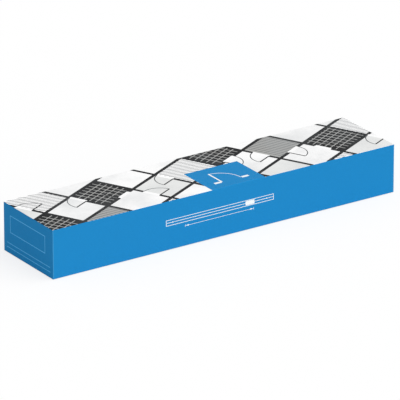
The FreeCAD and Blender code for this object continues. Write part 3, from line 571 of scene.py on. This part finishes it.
def blueTab(depth):
    low = -depth / 2
    high = low + tab["reach"]
    sign, stub, stroke = tab["sign"], tab["stub"], tab["stroke"]
    x = (tab["left"] + tab["right"]) / 2 - sign / 2
    y = low + (tab["reach"] - sign) / 2
    return [block("blue", tab["left"], low, tab["right"], high),
            block("white", x - stub, y - stroke, x, y + stroke),
            block("white", x + sign, y - stroke, x + sign + stub, y + stroke),
            block("white", x, y, x + stroke, y + sign),
            arcBand("white", x, y, sign - stroke / 2, stroke / 2, 0, 90)]


# The front's sign: a slide rail seen from the front, with a dimension line below it

railSign = {
    "left": -88.0, "right": 69.5, "low": 31.6, "high": 39.4, "stroke": 0.7,
    "hole": 1.0, "holeInset": 10.0,
    "block": 13.0, "blockPlace": 28.0, "blockInset": 1.12,
    "dimensionLow": 26.6, "dimensionLeft": -60.0, "dimensionRight": 40.0, "tick": 3.0, "arrow": 5.0}


def frontSign(middleZ):
    sign, line = railSign, railSign["stroke"]
    left, right = sign["left"], sign["right"]
    low, high = sign["low"] - middleZ, sign["high"] - middleZ
    middle = (low + high) / 2
    slider = sign["blockPlace"]
    shapes = ruledBox("white", left, low, right, high, line)
    shapes.append(block("white", left + line, middle - line / 2, right - line, middle + line / 2))
    shapes.append(block("white", slider, low + sign["blockInset"],
                        slider + sign["block"], high - sign["blockInset"]))
    for x in (left + sign["holeInset"], right - sign["holeInset"]):
        shapes.append(disc("blue", x, middle, sign["hole"] + line))
        shapes.append(disc("white", x, middle, sign["hole"]))
    base = sign["dimensionLow"] - middleZ
    fine, tick = line / 3, sign["tick"]              # half the dimension line's width, and its end marks
    shapes.append(block("white", sign["dimensionLeft"], base - fine, sign["dimensionRight"], base + fine))
    for x, arrow in ((sign["dimensionLeft"], sign["arrow"]), (sign["dimensionRight"], -sign["arrow"])):
        shapes.append(block("white", x - fine, base - tick / 2, x + fine, base + tick / 2))
        shapes.append(("white", [(x, base), (x + arrow, base - tick / 3), (x + arrow, base + tick / 3)]))
    return shapes


# The ends' ruled field and two rules

endRules = {
    "field": (0.13, 0.445, 0.845, 0.808),           # left, low, right and high, as shares of the end
    "rules": ((0.06, 0.94, 0.208), (0.06, 0.95, 0.115)),        # left, right and level, as shares too
    "stroke": 0.8}


def endPrint(depth, height):
    stroke = endRules["stroke"]
    left, low, right, high = (share * side - side / 2
                              for share, side in zip(endRules["field"], (depth, height, depth, height)))
    shapes = ruledBox("paleBlue", left, low, right, high, stroke)
    for start, stop, level in endRules["rules"]:
        y = level * height - height / 2
        shapes.append(block("paleBlue", start * depth - depth / 2, y, stop * depth - depth / 2, y + stroke))
    return shapes


# Meshes: a finished one takes the place of one CAD node on its body

weld = 1e-6              # metres: corners of a CAD mesh nearer than this are one


def addObject(name, data):
    made = bpy.data.objects.new(name, data)
    bpy.context.scene.collection.objects.link(made)
    return made


def addPiece(mesh, name, node, body, slot, coats=None):
    bmesh.ops.recalc_face_normals(mesh, faces=mesh.faces)
    data = bpy.data.meshes.new(name)
    mesh.to_mesh(data)
    mesh.free()
    for coat in coats or [finishes[slot]]:
        data.materials.append(coat)
    piece = addObject(name, data)
    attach(piece, body)
    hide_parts(node)
    return piece


def nodeMesh(node):      # a copy of a CAD node's mesh with its corners joined
    mesh = bmesh.new()
    mesh.from_mesh(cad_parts[node].data)
    bmesh.ops.remove_doubles(mesh, verts=mesh.verts, dist=weld)
    return mesh


def looseBoxes(node):    # the boxes of a node's separate solids, left to right
    mesh = nodeMesh(node)
    boxes, seen = [], set()
    for first in mesh.verts:
        if first in seen:
            continue
        seen.add(first)
        group = [first]
        for vert in group:
            for edge in vert.link_edges:
                other = edge.other_vert(vert)
                if other not in seen:
                    seen.add(other)
                    group.append(other)
        columns = list(zip(*(vert.co for vert in group)))
        boxes.append((Vector(map(min, columns)), Vector(map(max, columns))))
    mesh.free()
    return sorted(boxes, key=lambda box: tuple(box[0]))


def skinRings(mesh, rings, smooth):      # a skin from ring to ring, closed at both ends
    for this, following in zip(rings, rings[1:]):
        for k in range(len(this)):
            n = (k + 1) % len(this)
            mesh.faces.new((this[k], this[n], following[n], following[k])).smooth = smooth
    mesh.faces.new(rings[0])
    mesh.faces.new(rings[-1])


# Folded board

sides = {                # what runs to the right and up when a panel is seen from outside
    "top": ((1, 0, 0), (0, 1, 0)), "under": ((1, 0, 0), (0, -1, 0)), "front": ((1, 0, 0), (0, 0, 1)),
    "back": ((-1, 0, 0), (0, 0, 1)), "left": ((0, -1, 0), (0, 0, 1)), "right": ((0, 1, 0), (0, 0, 1))}
boardCoats = {"print": finishes["printed_board"], "liner": finishes["tray_board"], "cut": cutEdge}
coatOrder = list(boardCoats)
creaseSteps = 4
snap = 1e-3              # millimetres: a corner this near to a panel's edge is on it
printWeld = 1e-4         # millimetres: printed outlines nearer than this meet
insideOnly = 1           # delaunay_2d_cdt then gives only what lies inside an outline


def cutPrint(width, height, shapes, ground):
    outlines = anticlockwise([block(ground, -width / 2, -height / 2, width / 2, height / 2)] + shapes)
    points, faces = [], []
    for ink, outline in outlines:
        faces.append(list(range(len(points), len(points) + len(outline))))
        points += [Vector(point) for point in outline]
    places, _, cells, _, _, covers = delaunay_2d_cdt(points, [], faces, insideOnly, printWeld)
    kept = [(cell, outlines[max(cover)][0]) for cell, cover in zip(cells, covers) if 0 in cover]
    return places, kept


def addBoard(mesh, inkLayer, box, side, panel):
    across, up = (Vector(axis) for axis in sides[side])
    out = across.cross(up)
    size = box[1] - box[0]
    width, height, thick = (abs(size.dot(axis)) / mm for axis in (across, up, out))
    origin = (box[0] + box[1]) / 2 + out * thick / 2 * mm
    crease = panel["crease"]
    halfWidth, halfHeight = width / 2 - crease, height / 2 - crease
    shapes = panel["print"](width, height) if "print" in panel else []
    places, cells = cutPrint(2 * halfWidth, 2 * halfHeight, shapes, panel["ground"])
    verts = [mesh.verts.new(origin + (across * x + up * y) * mm) for x, y in places]
    inkOf, rimOf = {}, {}
    for cell, ink in cells:
        inkOf[mesh.faces.new([verts[k] for k in cell])] = ink
    for vert in verts:
        if not vert.link_faces:
            mesh.verts.remove(vert)
    edges = [edge for face in inkOf for edge in face.edges if edge.is_boundary]
    reach = 0.0
    for step in range(1, creaseSteps + 2):          # round the crease, then straight to the inside
        turn = min(step, creaseSteps) / creaseSteps * math.pi / 2
        grow = crease * math.sin(turn)
        depth = thick if step > creaseSteps else crease * (1 - math.cos(turn))
        before = dict(inkOf)
        made = bmesh.ops.extrude_edge_only(mesh, edges=edges)["geom"]
        edges = [item for item in made if isinstance(item, bmesh.types.BMEdge) and item.is_boundary]
        for vert in (item for item in made if isinstance(item, bmesh.types.BMVert)):
            x, y = ((vert.co - origin).dot(axis) / mm for axis in (across, up))
            x = math.copysign(halfWidth + grow, x) if abs(x) > halfWidth + reach - snap else x
            y = math.copysign(halfHeight + grow, y) if abs(y) > halfHeight + reach - snap else y
            vert.co = origin + (across * x + up * y - out * depth) * mm
        for face in (item for item in made if isinstance(item, bmesh.types.BMFace)):
            beside = [before[other] for edge in face.edges for other in edge.link_faces if other in before]
            x, y = ((face.calc_center_median() - origin).dot(axis) / mm for axis in (across, up))
            rim = ("left" if x < 0 else "right") if abs(x) > halfWidth else ("low" if y < 0 else "high")
            rimOf[face] = rim
            # the inner half of a crease keeps the panel's ink and the outer half takes the rim's ink, which
            # on blue panels is a lighter blue painted as the fold's highlight
            inkOf[face] = beside[0] if step <= creaseSteps // 2 else panel.get(rim, panel["rim"])
            face.smooth = step <= creaseSteps
        reach = grow
    for face in bmesh.ops.edgeloop_fill(mesh, edges=edges)["faces"]:
        face.material_index = coatOrder.index("liner")
    for face, ink in inkOf.items():
        face.material_index = coatOrder.index(ink if ink in coatOrder else "print")
        run = up if rimOf.get(face) in ("left", "right") else across
        for loop in face.loops:
            spot = (loop.vert.co - origin) / mm
            if ink in inks:
                loop[inkLayer] = linear(inks[ink][0])[:3] + (inks[ink][1],)
            else:        # a cut edge keeps how far along it and how deep in the board a point is
                loop[inkLayer] = (spot.dot(run) + max(width, height), -spot.dot(out) / thick, 0.0, 0.0)


def boardPanel(node, body, slot, panel):
    mesh = bmesh.new()
    inkLayer = mesh.loops.layers.float_color.new("ink")
    for box in looseBoxes(node):
        end = "left" if box[0].x + box[1].x < 0 else "right"
        addBoard(mesh, inkLayer, box, end if panel["side"] == "ends" else panel["side"], panel)
    addPiece(mesh, "folded_" + node, node, body, slot, boardCoats.values())


def topPrint(width, height):
    return floorPlan() + blueTab(height)


def frontPrint(width, height):
    low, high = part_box("lid_front_skirt")
    return frontSign((low.z + high.z) / 2 / mm)


# crease is the outside radius of a panel's edges, and rim is what those edges show;
# low, high, left and right name the edges that show something else
lidPanels = {
    "lid_top_panel": {"side": "top", "crease": 0.8, "ground": "sky", "rim": "blue", "print": topPrint},
    "lid_front_skirt": {"side": "front", "crease": 0.15, "ground": "blue", "rim": "foldBlue", "low": "cut",
                        "print": frontPrint},
    "lid_left_skirt": {"side": "left", "crease": 0.4, "ground": "blue", "rim": "foldBlue", "low": "cut",
                       "left": "cut", "print": endPrint},
    "lid_right_skirt": {"side": "right", "crease": 0.4, "ground": "blue", "rim": "foldBlue", "low": "cut",
                        "right": "cut", "print": endPrint},
    "lid_glue_flaps": {"side": "ends", "crease": 0.1, "ground": "blue", "rim": "cut"}}
trayPanels = {
    "tray_floor": {"side": "under", "crease": 0.6, "ground": "blue", "rim": "foldBlue"},
    "tray_front_wall": {"side": "front", "crease": 0.15, "ground": "blue", "rim": "foldBlue", "high": "cut"},
    "tray_back_wall": {"side": "back", "crease": 0.1, "ground": "blue", "rim": "foldBlue", "high": "liner"},
    "tray_left_wall": {"side": "left", "crease": 0.15, "ground": "blue", "rim": "cut"},
    "tray_right_wall": {"side": "right", "crease": 0.15, "ground": "blue", "rim": "cut"},
    "tray_glue_flaps": {"side": "ends", "crease": 0.1, "ground": "blue", "rim": "cut"}}
for node, panel in lidPanels.items():
    boardPanel(node, "lid", "printed_board", panel)
for node, panel in trayPanels.items():
    boardPanel(node, "packed_tray", "tray_board", panel)
print("carton:", len(lidPanels) + len(trayPanels), "panels of folded board")


# Moulded, cast and forged pieces with their edges rounded over

softEdges = {            # edge is the radius in millimetres
    "closer_cover": {"body": "packed_tray", "slot": "silver_cover", "edge": 0.7},
    "slide_arm": {"body": "packed_tray", "slot": "painted_arm", "edge": 0.8},
    "rail_end_cap_left": {"body": "packed_tray", "slot": "moulded_plastic", "edge": 0.5},
    "rail_end_cap_right": {"body": "packed_tray", "slot": "moulded_plastic", "edge": 0.5},
    "slide_block": {"body": "slider", "slot": "slide_polymer", "edge": 0.5}}
sharpAngle, flatAngle = 35.0, 0.5    # degrees: sharper edges are rounded, flatter ones join their faces
bevelSteps, roundProfile = 3, 0.5


def softened(node, piece):
    mesh = nodeMesh(node)
    bmesh.ops.dissolve_limit(mesh, angle_limit=math.radians(flatAngle), verts=mesh.verts, edges=mesh.edges)
    sharp = [edge for edge in mesh.edges if edge.calc_face_angle(0.0) > math.radians(sharpAngle)]
    made = bmesh.ops.bevel(mesh, geom=sharp, offset=piece["edge"] * mm, segments=bevelSteps,
                           profile=roundProfile, affect="EDGES", clamp_overlap=True)
    for face in made["faces"]:
        face.smooth = True
    addPiece(mesh, "soft_" + node, node, piece["body"], piece["slot"])


for node, piece in softEdges.items():
    softened(node, piece)
print("soft edges:", len(softEdges), "pieces")


# Screws with threads and recesses, lying where the CAD's plain ones lie

screws = {               # millimetres; a recess is a cross or a hexagon, narrower at its floor by its taper
    "body_screws": {
        "slot": "zinc_steel", "shank": 2.4, "neck": 2.2, "rim": 0.3, "pitch": 2.2, "thread": 0.55,
        "point": 6.0, "tip": 0.1, "recess": "cross", "reach": 2.6, "half": 0.85, "deep": 2.4, "taper": 0.55},
    "rail_screws": {
        "slot": "zinc_steel", "shank": 2.0, "neck": 1.8, "rim": 0.3, "pitch": 1.8, "thread": 0.45,
        "point": 6.0, "tip": 0.1, "recess": "cross", "reach": 2.2, "half": 0.7, "deep": 2.0, "taper": 0.55},
    "arm_screw": {
        "slot": "zinc_steel", "shank": 3.0, "neck": 6.0, "rim": 0.5, "pitch": 1.25, "thread": 0.45,
        "point": 0.6, "tip": 2.2, "recess": "hexagon", "half": 2.0, "deep": 3.0, "taper": 1.0}}
roundSteps, pitchSteps = 24, 4
threadSlope = 3.0        # a thread's crest falls to the core within a third of a pitch
tiny = 1e-6              # keeps a recess's sides from being divided by nothing


def recessRadius(screw, turn):
    half = screw["half"]
    if screw["recess"] == "hexagon":
        return half / math.cos((turn + math.pi / 6) % (math.pi / 3) - math.pi / 6)
    c, s = (max(abs(way(turn)), tiny) for way in (math.cos, math.sin))
    return max(min(screw["reach"] / c, half / s), min(screw["reach"] / s, half / c))


def screwRings(screw, head, length):
    turns = [2 * math.pi * k / roundSteps for k in range(roundSteps)]
    opening = [recessRadius(screw, turn) for turn in turns]
    core = screw["shank"] - screw["thread"]
    under = head if screw["recess"] == "hexagon" else screw["shank"]     # a cap screw's head stays wide
    rings = [(screw["deep"], [radius * screw["taper"] for radius in opening]), (0.0, opening)]
    for x, radius in ((0.0, head - screw["rim"]), (screw["rim"], head), (screw["neck"], under),
                      (screw["neck"], core)):
        rings.append((x, [radius] * roundSteps))
    step = screw["pitch"] / pitchSteps
    for k in range(1, int((length - screw["neck"]) / step)):
        x = screw["neck"] + k * step
        fade = min(1.0, (length - x) / screw["point"])
        radii = []
        for turn in turns:
            fromCrest = abs((x / screw["pitch"] - turn / (2 * math.pi)) % 1 - 0.5)
            radii.append(fade * (core + screw["thread"] * max(0.0, 1 - threadSlope * fromCrest)))
        rings.append((x, radii))
    return rings + [(length, [screw["tip"]] * roundSteps)]


def threadedScrews(node, screw):
    mesh = bmesh.new()
    for low, high in looseBoxes(node):
        middle = (low + high) / 2
        rings = []
        for x, radii in screwRings(screw, (high.z - low.z) / 2 / mm, (high.x - low.x) / mm):
            ring = []
            for k, radius in enumerate(radii):
                turn = 2 * math.pi * k / roundSteps
                ring.append(mesh.verts.new((low.x + x * mm, middle.y + radius * mm * math.cos(turn),
                                            middle.z + radius * mm * math.sin(turn))))
            rings.append(ring)
        skinRings(mesh, rings, smooth=False)
    addPiece(mesh, "threaded_" + node, node, "packed_tray", screw["slot"])


for node, screw in screws.items():
    threadedScrews(node, screw)
print("screws:", len(screws), "kinds")


# Coil springs in round wire, each in two lengths: one on the piston's side, the other on the spring plate's
# side

springs = {              # wire in millimetres, and which way the coil runs
    "outer_spring": {"wire": 4.0, "turns": 8, "hand": 1},
    "inner_spring": {"wire": 2.6, "turns": 11, "hand": -1}}
pistonShare = 0.7        # share of a spring's turns on the piston's side
closedTurns = 2          # one turn lies closed at each end
coilSteps, wireSteps = 24, 10


def coilPath(spring, low, high, reach):
    wire = spring["wire"] * mm
    steps = spring["turns"] * coilSteps
    openRise = (high - low - (closedTurns + 1) * wire) / (spring["turns"] - closedTurns)
    path, x = [], low + wire / 2
    for step in range(steps + 1):
        turn = spring["hand"] * 2 * math.pi * step / coilSteps
        path.append((x, Vector((0, math.cos(turn), math.sin(turn))), reach - wire / 2))
        closed = step < coilSteps or step >= steps - coilSteps
        x += (wire if closed else openRise) / coilSteps
    return path


def addCoil(node, spring, path, axis, name):
    mesh = bmesh.new()
    rings = []
    for x, outward, radius in path:
        ring = []
        for k in range(wireSteps):
            turn = 2 * math.pi * k / wireSteps
            away = outward * (radius + spring["wire"] / 2 * mm * math.cos(turn))
            along = x + spring["wire"] / 2 * mm * math.sin(turn)
            ring.append(mesh.verts.new((along, axis.y + away.y, axis.z + away.z)))
        rings.append(ring)
    skinRings(mesh, rings, smooth=True)
    return addPiece(mesh, name, node, "packed_tray", "spring_steel")


def coilSpring(node, spring):
    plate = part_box("spring_plate")
    axis = (plate[0] + plate[1]) / 2
    low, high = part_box(node)
    path = coilPath(spring, low.x, high.x, high.y - axis.y)
    split = round(pistonShare * spring["turns"]) * coilSteps
    ends = (("piston", path[:split + 1], "piston_slide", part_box("rack_piston")[1].x),
            ("plate", path[split:], "preload_slide", plate[0].x))
    for side, stretch, joint, face in ends:
        coil = addCoil(node, spring, stretch, axis, "%s_%s_side" % (node, side))
        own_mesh(coil)


for node, spring in springs.items():
    coilSpring(node, spring)
print("springs:", len(springs), "coils")


# The leaflet: folded sheets standing side by side, each with a round fold on top

leaflet = {
    "drops": (0.3, 1.6, 0.0, 0.9),   # how much lower than the highest each sheet stands, in millimetres
    "gap": 0.04,
    "foldSteps": 6}


def foldedLeaflet():
    mesh = bmesh.new()
    low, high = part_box("installation_leaflet")
    share = (high.x - low.x) / len(leaflet["drops"])
    half = (share - leaflet["gap"] * mm) / 2
    for k, drop in enumerate(leaflet["drops"]):
        x, top = low.x + (k + 0.5) * share, high.z - drop * mm - half
        outline = [(x - half, low.z), (x + half, low.z)]
        outline += arcPoints(x, top, half, 0, 180, leaflet["foldSteps"])
        ends = [[mesh.verts.new((px, y, pz)) for px, pz in outline] for y in (low.y, high.y)]
        skinRings(mesh, ends, smooth=False)
    addPiece(mesh, "folded_leaflet", "installation_leaflet", "packed_tray", "leaflet_paper")


foldedLeaflet()
print("leaflet:", len(leaflet["drops"]), "folded sheets")


# Studio: the camera at the photograph's angle, one wide lamp, a pale floor

view = {
    "azimuth": -33.77, "elevation": 22.23,          # degrees
    "distance": 7.067, "far": 100.0,                # metres
    "lens": 520.4, "sensor": 36.0,
    "aimRight": -1.61, "aimUp": -3.90}              # aim from the carton's middle, in millimetres
light = {
    "sky": 0.5, "lamp": 2.16,                       # strengths
    "towards": (-0.227, 0.418, -0.5),
    "softness": 90.0,                               # degrees that the lamp spans
    "shadow": 0.25}                                 # how much of its own shading the white floor shows
floorPlace = {"reach": 6.0, "drop": 0.0003}         # metres


def placeCamera():
    azimuth, elevation = math.radians(view["azimuth"]), math.radians(view["elevation"])
    back = Vector((math.sin(azimuth) * math.cos(elevation), -math.cos(azimuth) * math.cos(elevation),
                   math.sin(elevation)))
    right = Vector((math.cos(azimuth), math.sin(azimuth), 0))
    up = back.cross(right)
    aim = (cadBox[0] + cadBox[1]) / 2 + (right * view["aimRight"] + up * view["aimUp"]) * mm
    camera = addObject("camera", bpy.data.cameras.new("camera"))
    camera.location = aim + back * view["distance"]
    camera.rotation_euler = back.to_track_quat("Z", "Y").to_euler()
    camera.data.lens = view["lens"]
    camera.data.sensor_width = view["sensor"]
    camera.data.clip_end = view["far"]
    bpy.context.scene.camera = camera


def seenRays(tree):      # 1 for rays that see the background itself, straight on or in metal and glass
    rays = addNode(tree, "LightPath")
    glossy = addNode(tree, "Math", {0: rays.outputs["Is Camera Ray"], 1: rays.outputs["Is Glossy Ray"]},
                     operation="MAXIMUM")
    return addNode(tree, "Math", {0: glossy.outputs[0], 1: rays.outputs["Is Transmission Ray"]},
                   operation="MAXIMUM").outputs[0]


def lightStudio():
    world = bpy.data.worlds.new("studio")
    bpy.context.scene.world = world
    tree = clearTree(world)
    sky = addNode(tree, "Background", {"Color": linear("#ffffff"), "Strength": light["sky"]})
    white = addNode(tree, "Background", {"Color": linear("#ffffff"), "Strength": 1.0})
    mixed = addNode(tree, "MixShader", {0: seenRays(tree), 1: sky.outputs[0], 2: white.outputs[0]})
    addNode(tree, "OutputWorld", {"Surface": mixed.outputs[0]})
    lamp = addObject("lamp", bpy.data.lights.new("lamp", "SUN"))
    lamp.data.energy = light["lamp"]
    lamp.data.angle = math.radians(light["softness"])
    lamp.rotation_euler = (-Vector(light["towards"])).to_track_quat("Z", "Y").to_euler()


def paleFloor():
    # Pale painted floor: it shows white with the object's soft shadow, and lights the object as pale grey
    finish = bpy.data.materials.new("pale painted floor")
    tree = clearTree(finish)
    place = addNode(tree, "TexCoord").outputs["Object"]
    brush = addNode(tree, "TexNoise", {"Vector": place, "Scale": perSize(40.0), "Detail": 4.0})
    paint = addNode(tree, "ValToRGB", {"Fac": brush.outputs["Fac"]},
                    stops=[(0.3, "#e3e3e3"), (0.7, "#e7e7e7")])
    pale = addNode(tree, "BsdfDiffuse", {"Color": paint.outputs["Color"]})
    white = addNode(tree, "BsdfDiffuse", {"Color": linear("#ffffff")})
    glow = addNode(tree, "Emission", {"Color": linear("#ffffff"), "Strength": 1.0})
    shown = addNode(tree, "MixShader", {0: light["shadow"], 1: glow.outputs[0], 2: white.outputs[0]})
    mixed = addNode(tree, "MixShader", {0: seenRays(tree), 1: pale.outputs[0], 2: shown.outputs[0]})
    addNode(tree, "OutputMaterial", {"Surface": mixed.outputs[0]})
    return finish


def layFloor():
    data = bpy.data.meshes.new("floor")
    reach, level = floorPlace["reach"], -floorPlace["drop"]
    corners = ((-reach, -reach), (reach, -reach), (reach, reach), (-reach, reach))
    data.from_pydata([(x, y, level) for x, y in corners], [], [(0, 1, 2, 3)])
    data.materials.append(paleFloor())
    floor = addObject("floor", data)


placeCamera()
lightStudio()
layFloor()
bpy.context.scene.view_settings.view_transform = "Standard"
print("studio: camera, lamp, sky and floor")
